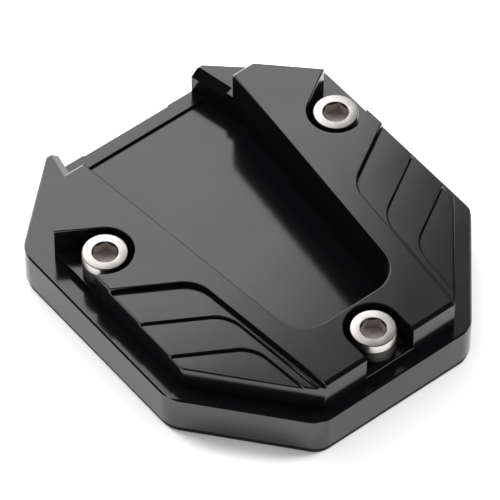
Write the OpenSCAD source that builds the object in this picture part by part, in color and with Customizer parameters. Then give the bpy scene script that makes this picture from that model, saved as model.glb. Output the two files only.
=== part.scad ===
// Foot enlarger for a motorcycle side stand: a base plate with a pocket for the stand's foot,
// a clamp plate with an open slot for its leg, and three cap screws. Millimetres, +Z up, origin
// on the underside at the middle of the outline. The foot goes in from the back (+Y), and both
// plates are symmetric about X = 0.

/* [Base plate] */
// Width of the base plate
base_width = 84; // [82.5:0.5:96]
// Length of the base plate
base_length = 95; // [94:0.5:104]
// Thickness of the base plate
base_thickness = 11; // [9:0.5:14]
// Half width of its front edge
base_front_half = 20.6; // [19.6:0.2:23]
// Length of its front corner cuts, along the plate
base_front_cut = 25.5; // [22:0.5:26]
// Length of its back corner cuts, along the plate
base_back_cut = 18.2; // [15:0.2:19]
// Half width across the tips of the back lugs
lug_tip_half = 21.8; // [21.6:0.1:24]
// Radius of its upright corners at the sides
base_side_radius = 7; // [3:0.5:9]
// Radius of its upright corners at the front
base_front_radius = 5.5; // [2:0.5:7]
// Height of the steep chamfer round its underside
foot_chamfer_height = 1.2; // [0.5:0.1:2]
// Width of that chamfer
foot_chamfer_width = 0.5; // [0.3:0.1:1]
// Edge break round its top
top_break = 0.35; // [0.2:0.05:0.6]

/* [Foot pocket] */
// Height of the pocket's floor
pocket_floor = 3.4; // [2.5:0.1:4.5]
// How far the pocket runs under the clamp plate all round the slot
pocket_lip = 1.4; // [1:0.1:2]
// Height of the back rim over the pocket's floor
rim_height = 0.7; // [0.4:0.1:1.2]
// Width of the back rim, along the plate
rim_width = 3.7; // [2:0.1:5]
// Half width between the lugs at the back edge
lug_gap_half = 18.6; // [18:0.1:19.2]
// Length of the lugs' inner faces
lug_face_length = 15.5; // [14:0.5:17]
// Chamfer along the top of the lugs' inner faces, behind the clamp plate
lug_chamfer = 2; // [0.4:0.1:2.2]
// Half width of the shallow relief in the back edge
relief_half = 11.8; // [8:0.2:14]
// Depth of that relief
relief_depth = 0.4; // [0.2:0.1:0.8]

/* [Clamp plate] */
// How far its sides stand inside the base's sides
clamp_side_inset = 4.4; // [3.6:0.1:4.8]
// Thickness of the clamp plate
clamp_thickness = 8.6; // [8.4:0.1:12]
// How far its front face stands behind the base's front edge
clamp_front_inset = 2.5; // [1.5:0.1:3]
// How far its arm ends stand in front of the base's back edge
clamp_back_inset = 12.15; // [11.65:0.05:13.65]
// Half width of its front face
clamp_front_half = 17.7; // [17.2:0.1:18.2]
// Length of its front corner cuts, along the plate
clamp_front_cut = 23.9; // [22.9:0.1:24.9]
// Half width across the outer corners of the arm ends
arm_end_half = 25.45; // [24.45:0.05:26.45]
// Length of its back corner cuts, along the plate
clamp_back_cut = 12; // [11:0.1:12.4]
// Radius of its upright corners where the sides meet the front cuts
clamp_corner_radius = 1.5; // [0.5:0.25:2.5]
// Chamfer along the top of its front face
front_chamfer = 0.7; // [0.3:0.1:1]
// Chamfer along the tops of its arm ends
arm_chamfer = 0.8; // [0.3:0.1:1.2]

/* [Leg slot] */
// Half width of the slot at its closed end
slot_end_half = 13.75; // [12.75:0.05:14.25]
// Half width of the slot between the arm ends
slot_mouth_half = 20.75; // [20.25:0.05:21.25]
// Length of solid plate between the slot's closed end and the front face
slot_end_wall = 13.25; // [12.75:0.25:15]
// Radius of the slot's two closed corners
slot_end_radius = 7.5; // [4:0.25:9]

/* [Terraces] */
// Drop of the first terrace below the clamp plate's top
first_drop = 1.3; // [0.8:0.05:1.6]
// Drop of each terrace after the first
next_drop = 0.65; // [0.3:0.05:0.9]
// Distance from the front face to where the first riser meets the side
first_riser_reach = 48.5; // [47:0.25:49.5]
// Distance between the risers along the side
riser_pitch = 10.4; // [9:0.1:11]
// Direction of the risers' outer stretches, in degrees
riser_angle = 31; // [29:0.5:33]
// Width of the flat land between the slot and the first riser
land_width = 5.1; // [4.6:0.1:5.6]
// How much farther from the slot the second riser runs
second_riser_step = 1.1; // [0.6:0.1:1.6]
// How much farther out again the third riser runs
third_riser_step = 1.8; // [1:0.1:2.2]
// Radius of the bends in the risers
bend_radius = 8; // [3:0.5:9]

/* [Screws] */
// Distance of the side screws from the base's sides
side_screw_inset = 10.15; // [9.8:0.05:10.65]
// Distance of the side screws from the base's back edge
side_screw_reach = 34.85; // [34.35:0.05:35.85]
// Distance of the front screw from the base's front edge
front_screw_inset = 8.35; // [7.85:0.05:8.85]
// Diameter of the screws' shanks
screw_d = 6; // [5:0.5:6]
// Length of the screws under the head
screw_length = 12; // [8:0.5:12]
// Diameter of the screws' heads
head_d = 10; // [9:0.25:10.5]
// Height of the screws' heads
head_height = 6; // [5:0.25:6.25]
// Bevel round the top of each head
head_bevel = 0.6; // [0.2:0.1:0.8]
// Width across the flats of the hex sockets
socket_flats = 5; // [4:0.25:5.5]
// Depth of the hex sockets
socket_depth = 3; // [2:0.25:3.5]

/* [Screw seats] */
// Thickness of the web left under the screws' heads
seat_web = 2.1; // [1.6:0.1:2.6]
// Gap round each screw's head in its counterbore
counterbore_gap = 1.3; // [0.8:0.1:1.4]
// Direction in which the side counterbores open, in degrees
notch_angle = 32; // [29:0.5:35]
// Extra diameter of the holes in the clamp plate
hole_clearance = 0.6; // [0.3:0.1:1]
// Extra diameter of the tapped holes in the base plate
thread_clearance = 0.1; // [0.1:0.05:0.3]
// Depth of the chamfers at the ends of the tapped holes
hole_chamfer = 0.6; // [0.3:0.1:0.8]

/* [Hidden] */
BLACK = [0.06, 0.06, 0.065];
STEEL = [0.78, 0.76, 0.73];
OVER = 1; // how far a cut runs past the face that it opens through
FAR = 20; // how far an open-sided cut runs past the plates
ARC_EASE = 0.004; // how much larger than tangent a corner's arc is, so that it crosses both sides cleanly
KITE_GROWTH = 1.25; // how far a corner's waste reaches past the outline, as a ratio of its radius
$fn = 96;

base_front_y = -base_length / 2;
base_back_y = base_length / 2;
clamp_half = base_width / 2 - clamp_side_inset;
clamp_front_y = base_front_y + clamp_front_inset;
clamp_back_y = base_back_y - clamp_back_inset;
clamp_top = base_thickness + clamp_thickness;
slot_end_y = clamp_front_y + slot_end_wall;
slot_slope = (slot_mouth_half - slot_end_half) / (clamp_back_y - slot_end_y);
lug_front_y = base_back_y - lug_face_length;
rim_front_y = base_back_y - rim_width;
rim_top = pocket_floor + rim_height;
seat_z = base_thickness + seat_web;
counterbore_r = head_d / 2 + counterbore_gap;
tapped_d = screw_d + thread_clearance;
second_land = land_width + second_riser_step;
riser_lands = [land_width, second_land, second_land + third_riser_step];
side_screw_x = base_width / 2 - side_screw_inset;
side_screw_y = base_back_y - side_screw_reach;
// Each screw: place in plan, and the direction in which its counterbore opens
SEATS = [
    [side_screw_x, side_screw_y, notch_angle],
    [-side_screw_x, side_screw_y, 180 - notch_angle],
    [0, base_front_y + front_screw_inset, -90]
];

// Half width of the leg slot at y
function slot_half(y) = slot_end_half + slot_slope * (y - slot_end_y);

function unit(v) = v / norm(v);

// The right half of an outline, front to back, followed by its mirror image
function both_sides(half) =
    concat(half, [for (i = [len(half) - 1:-1:0]) [-half[i][0], half[i][1], half[i][2]]]);

base_points = both_sides([
    [base_front_half, base_front_y, base_front_radius],
    [base_width / 2, base_front_y + base_front_cut, base_side_radius],
    [base_width / 2, base_back_y - base_back_cut, base_side_radius],
    [lug_tip_half, base_back_y, 0]
]);

clamp_points = both_sides([
    [clamp_front_half, clamp_front_y, 0],
    [clamp_half, clamp_front_y + clamp_front_cut, clamp_corner_radius],
    [clamp_half, clamp_back_y - clamp_back_cut, 0],
    [arm_end_half, clamp_back_y, 0]
]);

slot_points = both_sides([
    [slot_end_half, slot_end_y, slot_end_radius],
    [slot_half(base_back_y), base_back_y, 0]
]);

pocket_points = both_sides([
    [slot_half(slot_end_y - pocket_lip) + pocket_lip, slot_end_y - pocket_lip, slot_end_radius + pocket_lip],
    [slot_half(lug_front_y) + pocket_lip, lug_front_y, 0],
    [lug_gap_half, base_back_y, 0],
    [lug_gap_half, base_back_y + OVER, 0]
]);

// What a rounding of the given radius takes off a corner between two neighbouring points
module corner_waste(before, corner, after) {
    here = [corner[0], corner[1]];
    to_before = unit([before[0], before[1]] - here);
    to_after = unit([after[0], after[1]] - here);
    half_angle = acos(to_before * to_after) / 2;
    reach = corner[2] / tan(half_angle);
    centre = here + corner[2] / sin(half_angle) * unit(to_before + to_after);
    kite = [here + reach * to_before, here, here + reach * to_after];
    difference() {
        polygon(concat([centre], [for (p = kite) centre + KITE_GROWTH * (p - centre)]));
        translate(centre) circle(r = corner[2] + ARC_EASE);
    }
}

// A closed outline of points [x, y, corner radius]
module rounded(points) {
    count = len(points);
    difference() {
        polygon([for (p = points) [p[0], p[1]]]);
        for (i = [0:count - 1])
            if (points[i][2] > 0)
                corner_waste(points[(i + count - 1) % count], points[i], points[(i + 1) % count]);
    }
}

// A wedge that chamfers a straight edge at height z, with the plate on the left of its run:
// up is 1 on a top edge and -1 on a bottom edge
module edge_wedge(start, end, width, height, z, up) {
    run = [end[0] - start[0], end[1] - start[1]];
    translate([start[0], start[1], z])
        rotate([90, 0, atan2(run[1], run[0]) - 90])
            translate([0, 0, -norm(run) - width])
                linear_extrude(norm(run) + 2 * width)
                    polygon([
                        [-width, 0],
                        [width, -2 * up * height],
                        [width, up * height],
                        [-width, up * height]
                    ]);
}

// One chamfer wedge along each side of an outline
module edge_wedges(points, width, height, z, up) {
    count = len(points);
    for (i = [0:count - 1])
        edge_wedge(points[i], points[(i + 1) % count], width, height, z, up);
}

// Plan of one terrace: everything outside riser i on the right side
module terrace_plan(i) {
    rise = tan(riser_angle);
    side_y = clamp_front_y + first_riser_reach - i * riser_pitch;
    land_half = slot_half(side_y - rise * clamp_half) + riser_lands[i];
    bend_x = land_half / (1 - slot_slope * rise);
    bend_y = side_y + rise * (bend_x - clamp_half);
    end_y = clamp_front_y - FAR + i * OVER;
    end_x = clamp_half + FAR - i * OVER;
    rounded([
        [bend_x, bend_y, bend_radius],
        [slot_half(end_y) + riser_lands[i], end_y, 0],
        [end_x, end_y, 0],
        [end_x, side_y + rise * (end_x - clamp_half), 0]
    ]);
}

module terrace(i) {
    depth = first_drop + i * next_drop;
    translate([0, 0, clamp_top - depth]) linear_extrude(depth + OVER) terrace_plan(i);
}

// Tapped hole through the base plate, with a chamfer at each end
module tapped_hole() {
    mouth_r = tapped_d / 2 + hole_chamfer;
    translate([0, 0, -OVER]) cylinder(h = base_thickness + 2 * OVER, d = tapped_d);
    cylinder(h = hole_chamfer, r1 = mouth_r, r2 = tapped_d / 2);
    translate([0, 0, base_thickness - hole_chamfer])
        cylinder(h = hole_chamfer, r1 = tapped_d / 2, r2 = mouth_r);
}

// Counterbore that opens sideways through the plate's edge, and its clearance hole
module screw_seat(opening) {
    translate([0, 0, seat_z]) linear_extrude(clamp_thickness) {
        circle(r = counterbore_r);
        rotate(opening) translate([0, -counterbore_r]) square([FAR, 2 * counterbore_r]);
    }
    translate([0, 0, base_thickness - OVER]) cylinder(h = seat_web + 2 * OVER, d = screw_d + hole_clearance);
}

module base_plate() {
    color(BLACK) difference() {
        linear_extrude(base_thickness) rounded(base_points);
        edge_wedges(base_points, foot_chamfer_width, foot_chamfer_height, 0, -1);
        edge_wedges(base_points, top_break, top_break, base_thickness, 1);
        translate([0, 0, rim_top]) linear_extrude(base_thickness) rounded(pocket_points);
        translate([0, 0, pocket_floor]) linear_extrude(base_thickness) intersection() {
            rounded(pocket_points);
            translate([-base_width, rim_front_y - base_length]) square([2 * base_width, base_length]);
        }
        for (side = [-1, 1])
            lug_chamfer_cut(side);
        translate([-relief_half, base_back_y - relief_depth, -OVER])
            cube([2 * relief_half, FAR, base_thickness]);
        for (seat = SEATS)
            translate([seat[0], seat[1], 0]) tapped_hole();
    }
}

// Chamfer along the top of one lug's inner face, from the back edge to just behind the clamp plate
module lug_chamfer_cut(side) {
    front_y = clamp_back_y + 2 * lug_chamfer;
    pocket_half = slot_half(lug_front_y) + pocket_lip;
    front_half = lug_gap_half + (pocket_half - lug_gap_half) * (base_back_y - front_y) / lug_face_length;
    back = [side * lug_gap_half, base_back_y];
    front = [side * front_half, front_y];
    if (side > 0)
        edge_wedge(back, front, lug_chamfer, lug_chamfer, base_thickness, 1);
    else
        edge_wedge(front, back, lug_chamfer, lug_chamfer, base_thickness, 1);
}

module clamp_plate() {
    color(BLACK) difference() {
        translate([0, 0, base_thickness]) linear_extrude(clamp_thickness) difference() {
            rounded(clamp_points);
            rounded(slot_points);
        }
        for (i = [0:len(riser_lands) - 1]) {
            terrace(i);
            mirror([1, 0, 0]) terrace(i);
        }
        for (seat = SEATS)
            translate([seat[0], seat[1], 0]) screw_seat(seat[2]);
        front_edge = [[-clamp_front_half, clamp_front_y], [clamp_front_half, clamp_front_y]];
        edge_wedge(front_edge[0], front_edge[1], front_chamfer, front_chamfer, clamp_top, 1);
        arm_edge = [[arm_end_half, clamp_back_y], [-arm_end_half, clamp_back_y]];
        edge_wedge(arm_edge[0], arm_edge[1], arm_chamfer, arm_chamfer, clamp_top, 1);
    }
}

// Hex socket cap screw with the underside of its head at z = 0
module cap_screw() {
    socket_r = socket_flats / 2 / cos(30);
    point_h = socket_flats / 6;
    point_r = socket_flats / 20;
    difference() {
        rotate_extrude() polygon([
            [0, -screw_length],
            [screw_d / 2 - head_bevel, -screw_length],
            [screw_d / 2, head_bevel - screw_length],
            [screw_d / 2, 0],
            [head_d / 2, 0],
            [head_d / 2, head_height - head_bevel],
            [head_d / 2 - head_bevel, head_height],
            [0, head_height]
        ]);
        translate([0, 0, head_height - socket_depth])
            cylinder(h = socket_depth + OVER, r = socket_r, $fn = 6);
        translate([0, 0, head_height - socket_depth - point_h])
            cylinder(h = point_h, r1 = point_r, r2 = socket_flats / 2);
        translate([0, 0, head_height - socket_r + socket_flats / 2])
            cylinder(h = socket_r, r1 = socket_flats / 2, r2 = socket_flats / 2 + socket_r);
    }
}

module clamp_screws() {
    color(STEEL)
        for (seat = SEATS)
            translate([seat[0], seat[1], seat_z]) cap_screw();
}

base_plate();
clamp_plate();
clamp_screws();
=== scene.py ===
import math

import bpy
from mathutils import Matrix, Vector


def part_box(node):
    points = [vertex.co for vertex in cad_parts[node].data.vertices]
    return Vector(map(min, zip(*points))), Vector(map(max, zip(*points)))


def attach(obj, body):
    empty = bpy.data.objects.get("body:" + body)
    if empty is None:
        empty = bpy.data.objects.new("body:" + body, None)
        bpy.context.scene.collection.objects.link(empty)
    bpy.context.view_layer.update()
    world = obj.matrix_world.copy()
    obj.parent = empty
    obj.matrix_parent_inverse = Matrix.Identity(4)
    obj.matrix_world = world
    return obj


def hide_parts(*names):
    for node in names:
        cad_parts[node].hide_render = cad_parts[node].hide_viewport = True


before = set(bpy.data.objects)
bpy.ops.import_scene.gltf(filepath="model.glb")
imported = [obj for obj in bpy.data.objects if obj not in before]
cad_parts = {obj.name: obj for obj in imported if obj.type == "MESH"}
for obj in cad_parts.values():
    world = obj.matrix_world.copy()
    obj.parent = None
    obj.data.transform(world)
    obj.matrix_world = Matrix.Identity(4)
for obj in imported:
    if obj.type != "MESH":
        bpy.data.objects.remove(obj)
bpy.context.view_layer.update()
millimetre = 0.001


# Helpers

meshCare = {
    "mergeDistance": 0.002,   # corners nearer than this are one, in mm
    "flatAngle": 0.3,         # faces that turn less than this are one, in degrees
    "onPlane": 1e-6,          # how near a level or a radius counts as on it, in metres
    "runOnAngle": 150.0,      # edges that meet at a wider angle than this run on into each other
    "facingDown": -0.9,       # upward part of the normal of a face that looks down
}


def deselectAll():
    bpy.ops.object.select_all(action="DESELECT")


def makeActive(piece):
    deselectAll()
    piece.select_set(True)
    bpy.context.view_layer.objects.active = piece


def selectFaces(piece, wanted):
    # leaves the piece in edit mode with the wanted faces selected
    makeActive(piece)
    bpy.ops.object.mode_set(mode="EDIT")
    bpy.ops.mesh.select_mode(type="FACE")
    bpy.ops.mesh.select_all(action="DESELECT")
    bpy.ops.object.mode_set(mode="OBJECT")
    for face in piece.data.polygons:
        face.select = wanted(face)
    bpy.ops.object.mode_set(mode="EDIT")


def newMaterial(name):
    material = bpy.data.materials.new(name)
    material.use_nodes = True
    material.node_tree.nodes.clear()
    return material, material.node_tree.nodes, material.node_tree.links


def copyOfNode(nodeName, pieceName):
    # the plate's own solid, merged, ready for its edges to be finished
    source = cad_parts[nodeName]
    piece = bpy.data.objects.new(pieceName, source.data.copy())
    bpy.context.scene.collection.objects.link(piece)
    piece.data.materials.clear()
    makeActive(piece)
    bpy.ops.object.mode_set(mode="EDIT")
    bpy.ops.mesh.select_all(action="SELECT")
    bpy.ops.mesh.remove_doubles(threshold=meshCare["mergeDistance"] * millimetre)
    bpy.ops.mesh.dissolve_limited(angle_limit=math.radians(meshCare["flatAngle"]))
    bpy.ops.object.mode_set(mode="OBJECT")
    bpy.ops.mesh.customdata_custom_splitnormals_clear()
    return piece


# Camera, floor and light

cameraPlace = {
    "location": (-0.4012, -0.5026, 0.8010),
    "forward": (0.39148, 0.49315, -0.77689),
    "lens": 337.96,
    "sensor": 36.0,
    "reach": 10.0,
}


def makeCamera(place):
    bpy.ops.object.camera_add(location=place["location"])
    camera = bpy.context.active_object
    camera.name = "studioCamera"
    camera.rotation_euler = Vector(place["forward"]).to_track_quat("-Z", "Y").to_euler()
    camera.data.sensor_width = place["sensor"]
    camera.data.lens = place["lens"]
    camera.data.clip_end = place["reach"]
    bpy.context.scene.camera = camera


studio = {
    "floorSize": 6.0,
    "floorColour": (0.86, 0.86, 0.86, 1.0),
    "daylight": 1.0,          # the white surroundings, which also give the soft light
}

# the softboxes show in the black finish, the fills only light the paper and the shadows
lamps = {
    "softboxBack": {
        "location": (0.377, 0.787, 0.675),
        "aim": (0.576, 0.176, -0.091),
        "size": 0.7,
        "power": 4.3,
        "mirrored": True,
    },
    "softboxTop": {
        "location": (0.44, 0.36, 0.9),
        "aim": (0.0, 0.0, 0.0),
        "size": 0.3,
        "power": 0.08,
        "mirrored": True,
    },
    "fillLeft": {
        "location": (-0.35, 0.9, 1.0),
        "aim": (0.0, 0.0, 0.0),
        "size": 0.5,
        "power": 16.5,
        "mirrored": False,
    },
    "fillRight": {
        "location": (0.95, -0.45, 1.0),
        "aim": (0.0, 0.0, 0.0),
        "size": 0.5,
        "power": 16.0,
        "mirrored": False,
    },
}


def makeFloor(settings):
    bpy.ops.mesh.primitive_plane_add(size=settings["floorSize"], location=(0, 0, 0))
    floor = bpy.context.active_object
    floor.name = "studioFloor"
    material, nodes, links = newMaterial("paperWhite")
    out = nodes.new("ShaderNodeOutputMaterial")
    paper = nodes.new("ShaderNodeBsdfDiffuse")
    paper.inputs["Color"].default_value = settings["floorColour"]
    links.new(paper.outputs[0], out.inputs["Surface"])
    floor.data.materials.append(material)


def makeWorld(settings):
    world = bpy.data.worlds.new("studioWorld")
    bpy.context.scene.world = world
    world.use_nodes = True
    nodes, links = world.node_tree.nodes, world.node_tree.links
    nodes.clear()
    out = nodes.new("ShaderNodeOutputWorld")
    white = nodes.new("ShaderNodeBackground")
    white.inputs["Strength"].default_value = settings["daylight"]
    links.new(white.outputs[0], out.inputs["Surface"])


def makeLamp(name, settings):
    bpy.ops.object.light_add(type="AREA", location=settings["location"])
    lamp = bpy.context.active_object
    lamp.name = name
    towards = Vector(settings["aim"]) - Vector(settings["location"])
    lamp.rotation_euler = towards.to_track_quat("-Z", "Y").to_euler()
    lamp.data.shape = "SQUARE"
    lamp.data.size = settings["size"]
    lamp.data.energy = settings["power"]
    lamp.visible_glossy = settings["mirrored"]


tent = {
    "width": 5.0,
    "height": 1.6,
    "glow": 0.012,            # how much the dark cloth gives back
}


def makeTent(settings):
    # black cloth round and over the set, seen only in reflections: what faces no softbox stays dark
    width, height = settings["width"], settings["height"]
    bpy.ops.mesh.primitive_cube_add(size=1, location=(0, 0, height / 2), scale=(width, width, height))
    cloth = bpy.context.active_object
    cloth.name = "blackTent"
    selectFaces(cloth, lambda face: face.normal.z < meshCare["facingDown"])
    bpy.ops.mesh.delete(type="FACE")
    bpy.ops.object.mode_set(mode="OBJECT")
    material, nodes, links = newMaterial("blackCloth")
    out = nodes.new("ShaderNodeOutputMaterial")
    glow = nodes.new("ShaderNodeEmission")
    glow.inputs["Strength"].default_value = settings["glow"]
    links.new(glow.outputs[0], out.inputs["Surface"])
    cloth.data.materials.append(material)
    cloth.visible_camera = False
    cloth.visible_diffuse = False
    cloth.visible_shadow = False


makeCamera(cameraPlace)
makeFloor(studio)
makeWorld(studio)
for lampName, lampSettings in lamps.items():
    makeLamp(lampName, lampSettings)
makeTent(tent)
bpy.context.scene.view_settings.view_transform = "Standard"
print("studio ready")


# Black anodised plates

blackFinish = {
    "colour": (0.0032, 0.003, 0.0036, 1.0),
    "roughness": 0.14,
    "ior": 1.6,
    "cloudScale": 90.0,
    "cloudDetail": 4.0,
    "cloudAmount": 0.08,
    "grainScale": 2500.0,
    "grainHeight": 0.000005,  # in metres, as are all heights of relief
}


def cloudRoughness(nodes, links, place, surface, finish):
    # the shine wanders a little over the surface
    cloud = nodes.new("ShaderNodeTexNoise")
    cloud.inputs["Scale"].default_value = finish["cloudScale"]
    cloud.inputs["Detail"].default_value = finish["cloudDetail"]
    spread = nodes.new("ShaderNodeMapRange")
    spread.inputs["To Min"].default_value = finish["roughness"] - finish["cloudAmount"] / 2
    spread.inputs["To Max"].default_value = finish["roughness"] + finish["cloudAmount"] / 2
    links.new(place.outputs["Object"], cloud.inputs["Vector"])
    links.new(cloud.outputs["Fac"], spread.inputs["Value"])
    links.new(spread.outputs[0], surface.inputs["Roughness"])


def raiseSurface(nodes, links, heights, surface, height):
    # small relief from the pattern's values
    bump = nodes.new("ShaderNodeBump")
    bump.inputs["Distance"].default_value = height
    links.new(heights, bump.inputs["Height"])
    links.new(bump.outputs[0], surface.inputs["Normal"])


def mottled(name, finish):
    material, nodes, links = newMaterial(name)
    out = nodes.new("ShaderNodeOutputMaterial")
    surface = nodes.new("ShaderNodeBsdfPrincipled")
    surface.inputs["Base Color"].default_value = finish["colour"]
    surface.inputs["IOR"].default_value = finish["ior"]
    place = nodes.new("ShaderNodeTexCoord")
    cloudRoughness(nodes, links, place, surface, finish)
    grain = nodes.new("ShaderNodeTexNoise")
    grain.inputs["Scale"].default_value = finish["grainScale"]
    links.new(place.outputs["Object"], grain.inputs["Vector"])
    raiseSurface(nodes, links, grain.outputs["Fac"], surface, finish["grainHeight"])
    links.new(surface.outputs[0], out.inputs["Surface"])
    return material


baseEdges = {
    "width": 0.16,
    "steps": 2,
    "sharpAngle": 60.0,       # edges that turn less than this stay as they are
    "hiddenLevel": 0.0,       # height at which edges are hidden: here the ground
    "levelSlack": 0.01,
    "shortest": 1.2,          # edges shorter than this stay as they are
    "fullBreak": 1.2,         # round an edge shorter than this the break is made smaller
    "smoothAngle": 32.0,
}

clampEdges = {
    "width": 0.36,
    "steps": 2,
    "sharpAngle": 38.0,
    "hiddenLevel": 11.0,      # the top of the base plate
    "levelSlack": 0.01,
    "shortest": 0.0,
    "fullBreak": 1.2,
    "smoothAngle": 32.0,
}


def edgesToBreak(mesh, edges):
    # the outward sharp edges and their lengths, without the shortest and those at the hidden level
    found = {}
    facesAt = {}
    for face in mesh.polygons:
        corners = list(face.vertices)
        for first, second in zip(corners, corners[1:] + corners[:1]):
            ends = (min(first, second), max(first, second))
            facesAt.setdefault(ends, []).append((face.normal, first, second))
    for key, sides in facesAt.items():
        if len(sides) != 2:
            continue
        (normal, first, second), (otherNormal, _, _) = sides
        if normal.angle(otherNormal) < math.radians(edges["sharpAngle"]):
            continue
        along = mesh.vertices[second].co - mesh.vertices[first].co
        inward = normal.cross(along)
        level = (mesh.vertices[first].co.z + mesh.vertices[second].co.z) / 2 / millimetre
        length = along.length / millimetre
        hidden = abs(level - edges["hiddenLevel"]) < edges["levelSlack"]
        if inward.dot(otherNormal) < 0 and not hidden and length > edges["shortest"]:
            found[key] = length
    return found


def weighEdges(mesh, edges, sharp):
    # a full break on a long edge, a smaller one where it turns a corner into a short one
    meeting = {}
    for key in sharp:
        for corner in key:
            meeting.setdefault(corner, []).append(key)
    room = {}
    for corner, keys in meeting.items():
        ways = [mesh.vertices[sum(key) - corner].co - mesh.vertices[corner].co for key in keys]
        runsOn = len(ways) == 2 and ways[0].angle(ways[1]) > math.radians(meshCare["runOnAngle"])
        room[corner] = edges["fullBreak"] if runsOn else min(sharp[key] for key in keys)
    weights = mesh.attributes.new("bevel_weight_edge", "FLOAT", "EDGE")
    for edge in mesh.edges:
        key = (min(edge.vertices), max(edge.vertices))
        if key in sharp:
            weights.data[edge.index].value = min(1.0, min(room[key[0]], room[key[1]]) / edges["fullBreak"])


def finishEdges(piece, edges):
    makeActive(piece)
    weighEdges(piece.data, edges, edgesToBreak(piece.data, edges))
    bevel = piece.modifiers.new("edgeBreak", "BEVEL")
    bevel.limit_method = "WEIGHT"
    bevel.width = edges["width"] * millimetre
    bevel.segments = edges["steps"]
    bevel.use_clamp_overlap = False
    bpy.ops.object.modifier_apply(modifier=bevel.name)
    bpy.ops.object.shade_smooth_by_angle(angle=math.radians(edges["smoothAngle"]))
    weighted = piece.modifiers.new("flatFaces", "WEIGHTED_NORMAL")
    weighted.weight = 100
    weighted.keep_sharp = True
    bpy.ops.object.modifier_apply(modifier=weighted.name)


def roundFoot(piece, foot):
    # the steep chamfer at the foot, run round the upright corners too
    level = foot["height"] * millimetre
    near = meshCare["onPlane"]
    makeActive(piece)
    bpy.ops.object.mode_set(mode="EDIT")
    bpy.ops.mesh.select_all(action="SELECT")
    bpy.ops.mesh.bisect(plane_co=(0, 0, level), plane_no=(0, 0, 1), threshold=near, use_fill=True,
                        clear_inner=True)
    bpy.ops.object.mode_set(mode="OBJECT")
    selectFaces(piece, lambda face: abs(face.center.z - level) < near)
    bpy.ops.mesh.inset(thickness=foot["width"] * millimetre)
    bpy.ops.transform.translate(value=(0, 0, -level))
    bpy.ops.object.mode_set(mode="OBJECT")


plateFoot = {
    "height": 1.8,
    "width": 0.5,
    "lean": -0.1,             # upward part of the normal of its chamfer, at most
}

# painted shade at the foot: duller and less reflective than the plate, for the contact shadow along the
# ground
footShadeFinish = {
    "colour": (0.004, 0.0037, 0.0034, 1.0),
    "roughness": 0.55,
    "ior": 1.2,
    "cloudScale": 300.0,
    "cloudDetail": 4.0,
    "cloudAmount": 0.2,
    "grainScale": 1800.0,
    "grainHeight": 0.00003,
}


def markFootShade(piece, material, foot):
    # painted shade: the underside and its chamfer take a duller, less reflective finish, a darker band
    # along the ground that stands in for the contact shadow
    piece.data.materials.append(material)
    for face in piece.data.polygons:
        if face.center.z < foot["height"] * millimetre and face.normal.z < foot["lean"]:
            face.material_index = 1


def finishPlate(piece, nodeName):
    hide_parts(nodeName)
    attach(piece, "root")


black = mottled("blackAnodised", blackFinish)
basePlate = copyOfNode("base_plate", "basePlate")
roundFoot(basePlate, plateFoot)
finishEdges(basePlate, baseEdges)
basePlate.data.materials.append(black)
# the foot's painted shade goes on the underside and its chamfer
markFootShade(basePlate, mottled("dullFootPaintedShade", footShadeFinish), plateFoot)
finishPlate(basePlate, "base_plate")

clampPlate = copyOfNode("clamp_plate", "clampPlate")
finishEdges(clampPlate, clampEdges)
clampPlate.data.materials.append(black)
finishPlate(clampPlate, "clamp_plate")
print("plates ready")


# Cap screws

screwShape = {
    "headRadius": 5.0,
    "headHeight": 6.0,
    "rimBevel": 0.25,
    "rimSteps": 4,
    "plainBand": 2.2,         # smooth part of the head's side above its knurls
    "socketFlats": 5.0,
    "socketDepth": 3.0,
    "socketMouth": 2.95,      # radius of the countersink round the hex socket
    "socketLip": 0.5,         # depth to which the socket is as bright as the head
    "shankRadius": 3.0,
    "shankLength": 12.0,
    "tipBevel": 0.6,
    "sides": 96,
    "smoothAngle": 30.0,
}

screwTurns = {                # how each hex ended up, in degrees
    "rightScrew": 8.0,
    "leftScrew": 20.0,
    "frontScrew": -4.0,
}

steelFinish = {
    "colour": (0.66, 0.635, 0.6, 1.0),
    "roughness": 0.34,
    "ringPitch": 0.16,        # distance between the turned rings on the head, in mm
    "ringHeight": 0.0000008,
    "ringWander": 0.6,
    "cloudScale": 700.0,
    "cloudDetail": 2.0,
    "cloudAmount": 0.12,
}

# painted shade: the knurled side of the head is a dark copy of the steel, for the dark surroundings it
# mirrors; its knurls are real
shadedSideFinish = {
    "colour": (0.07, 0.067, 0.063, 1.0),
    "roughness": 0.42,
    "teeth": 44,              # knurls round the head
    "toothHeight": 0.00006,
}

socketFinish = {
    "colour": (0.22, 0.19, 0.165, 1.0),
    "roughness": 0.35,
    "ior": 1.8,
    "cloudScale": 900.0,
    "cloudDetail": 4.0,
    "cloudAmount": 0.3,
    "grainScale": 1500.0,
    "grainHeight": 0.00005,
}


def onAxis(nodes, links, place, centre):
    # coordinates measured from the screw's own axis
    moved = nodes.new("ShaderNodeMapping")
    moved.inputs["Location"].default_value = (-centre.x, -centre.y, -centre.z)
    links.new(place.outputs["Object"], moved.inputs["Vector"])
    return moved.outputs[0]


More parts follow.
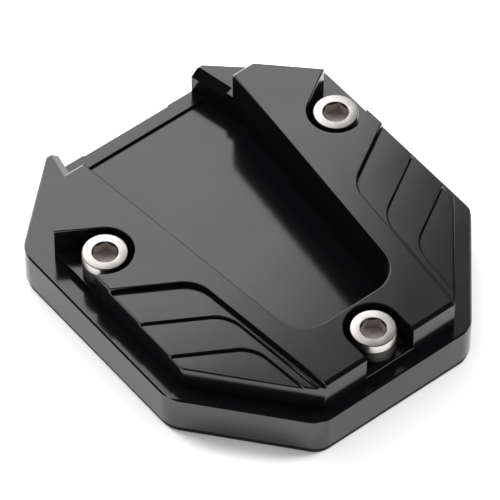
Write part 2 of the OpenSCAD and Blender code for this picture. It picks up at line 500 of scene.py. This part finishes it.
def screwSteel(name, finish, centre):
    material, nodes, links = newMaterial(name)
    out = nodes.new("ShaderNodeOutputMaterial")
    surface = nodes.new("ShaderNodeBsdfPrincipled")
    surface.inputs["Base Color"].default_value = finish["colour"]
    surface.inputs["Metallic"].default_value = 1.0
    place = nodes.new("ShaderNodeTexCoord")
    rings = nodes.new("ShaderNodeTexWave")
    rings.wave_type = "RINGS"
    rings.rings_direction = "Z"
    # at a scale of 1 the rings lie pi / 10 apart
    rings.inputs["Scale"].default_value = math.pi / 10 / (finish["ringPitch"] * millimetre)
    rings.inputs["Distortion"].default_value = finish["ringWander"]
    links.new(onAxis(nodes, links, place, centre), rings.inputs["Vector"])
    raiseSurface(nodes, links, rings.outputs["Fac"], surface, finish["ringHeight"])
    cloudRoughness(nodes, links, place, surface, finish)
    links.new(surface.outputs[0], out.inputs["Surface"])
    return material


def knurledShadedSide(name, finish, centre):
    # steel darkened into painted shade, with the real knurls in its relief
    material, nodes, links = newMaterial(name)
    out = nodes.new("ShaderNodeOutputMaterial")
    surface = nodes.new("ShaderNodeBsdfPrincipled")
    surface.inputs["Base Color"].default_value = finish["colour"]
    surface.inputs["Metallic"].default_value = 1.0
    surface.inputs["Roughness"].default_value = finish["roughness"]
    place = nodes.new("ShaderNodeTexCoord")
    around = nodes.new("ShaderNodeTexGradient")
    around.gradient_type = "RADIAL"
    links.new(onAxis(nodes, links, place, centre), around.inputs["Vector"])
    teeth = nodes.new("ShaderNodeMath")
    teeth.operation = "MULTIPLY"
    teeth.inputs[1].default_value = finish["teeth"]
    links.new(around.outputs["Fac"], teeth.inputs[0])
    upAndDown = nodes.new("ShaderNodeMath")
    upAndDown.operation = "PINGPONG"
    upAndDown.inputs[1].default_value = 0.5
    links.new(teeth.outputs[0], upAndDown.inputs[0])
    raiseSurface(nodes, links, upAndDown.outputs[0], surface, finish["toothHeight"])
    links.new(surface.outputs[0], out.inputs["Surface"])
    return material


def markScrew(screw, shape):
    # the knurled side takes the second material, steel darkened as painted shade, the socket's walls and
    # floor the third
    slack = 0.1               # in mm
    top = shape["headHeight"]
    floor = top - shape["socketDepth"] - slack
    for face in screw.data.polygons:
        radius, level = face.center.xy.length / millimetre, face.center.z / millimetre
        if radius > shape["headRadius"] - slack and level < top - shape["plainBand"]:
            face.material_index = 1
        elif radius < shape["socketMouth"] and floor < level < top - shape["socketLip"]:
            face.material_index = 2


def cutAway(piece, cutter):
    makeActive(piece)
    cut = piece.modifiers.new("cut", "BOOLEAN")
    cut.operation = "DIFFERENCE"
    cut.solver = "EXACT"
    cut.object = cutter
    bpy.ops.object.modifier_apply(modifier=cut.name)
    bpy.data.objects.remove(cutter)


def selectRim(piece, level, radius):
    # the round edge at one height and one radius, and nothing else: starts and ends in edit mode
    bpy.ops.mesh.select_all(action="DESELECT")
    bpy.ops.object.mode_set(mode="OBJECT")
    mesh = piece.data
    near = meshCare["onPlane"]
    for edge in mesh.edges:
        ends = [mesh.vertices[i].co for i in edge.vertices]
        edge.select = all(abs(p.z - level) < near and abs(p.xy.length - radius) < near for p in ends)
    bpy.ops.object.mode_set(mode="EDIT")


def modelScrew(shape):
    # one screw on the Z axis with the underside of its head at zero: a disc with its shank drawn out of it
    unit = millimetre
    head, shank = shape["headRadius"] * unit, shape["shankRadius"] * unit
    height, length = shape["headHeight"] * unit, shape["shankLength"] * unit
    deselectAll()
    bpy.ops.mesh.primitive_cylinder_add(vertices=shape["sides"], radius=head, depth=height,
                                        location=(0, 0, height / 2))
    screw = bpy.context.active_object
    bpy.ops.object.transform_apply(location=True)
    selectFaces(screw, lambda face: face.normal.z < meshCare["facingDown"])
    bpy.ops.mesh.inset(thickness=head - shank)
    bpy.ops.mesh.extrude_region_move(TRANSFORM_OT_translate={"value": (0, 0, -length)})
    bpy.ops.mesh.select_mode(type="EDGE")
    selectRim(screw, height, head)
    bpy.ops.mesh.bevel(offset=shape["rimBevel"] * unit, segments=shape["rimSteps"])
    selectRim(screw, -length, shank)
    bpy.ops.mesh.bevel(offset=shape["tipBevel"] * unit, segments=1)
    bpy.ops.mesh.select_all(action="SELECT")
    bandEnd = height - shape["plainBand"] * unit
    bpy.ops.mesh.bisect(plane_co=(0, 0, bandEnd), plane_no=(0, 0, 1), threshold=meshCare["onPlane"])
    bpy.ops.object.mode_set(mode="OBJECT")

    across = shape["socketFlats"] / 2 * unit
    depth = shape["socketDepth"] * unit
    corner = across / math.cos(math.radians(30))
    mouth = shape["socketMouth"] * unit
    bpy.ops.mesh.primitive_cylinder_add(vertices=6, radius=corner, depth=2 * depth, location=(0, 0, height))
    cutAway(screw, bpy.context.active_object)
    # the countersink is a cone that has the mouth's radius at the top of the head
    bpy.ops.mesh.primitive_cone_add(vertices=shape["sides"], radius1=0, radius2=2 * mouth, depth=2 * mouth,
                                    location=(0, 0, height))
    cutAway(screw, bpy.context.active_object)
    markScrew(screw, shape)
    return screw


def makeScrews(shape):
    low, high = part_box("clamp_screws")
    head = shape["headRadius"] * millimetre
    seat = high.z - shape["headHeight"] * millimetre
    places = {
        "rightScrew": Vector((high.x - head, high.y - head, seat)),
        "leftScrew": Vector((low.x + head, high.y - head, seat)),
        "frontScrew": Vector(((low.x + high.x) / 2, low.y + head, seat)),
    }
    socket = mottled("screwSocket", socketFinish)
    pattern = modelScrew(shape)
    pieces = []
    for name, place in places.items():
        screw = bpy.data.objects.new(name, pattern.data.copy())
        bpy.context.scene.collection.objects.link(screw)
        screw.location = place
        screw.rotation_euler.z = math.radians(screwTurns[name])
        makeActive(screw)
        bpy.ops.object.transform_apply(location=True, rotation=True)
        bpy.ops.object.shade_smooth_by_angle(angle=math.radians(shape["smoothAngle"]))
        screw.data.materials.append(screwSteel(name + "Steel", steelFinish, place))
        screw.data.materials.append(knurledShadedSide(name + "Side", shadedSideFinish, place))
        screw.data.materials.append(socket)
        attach(screw, "root")
        pieces.append(screw)
    bpy.data.objects.remove(pattern)
    for screw in pieces:
        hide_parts("clamp_screws")


makeScrews(screwShape)
print("screws ready")
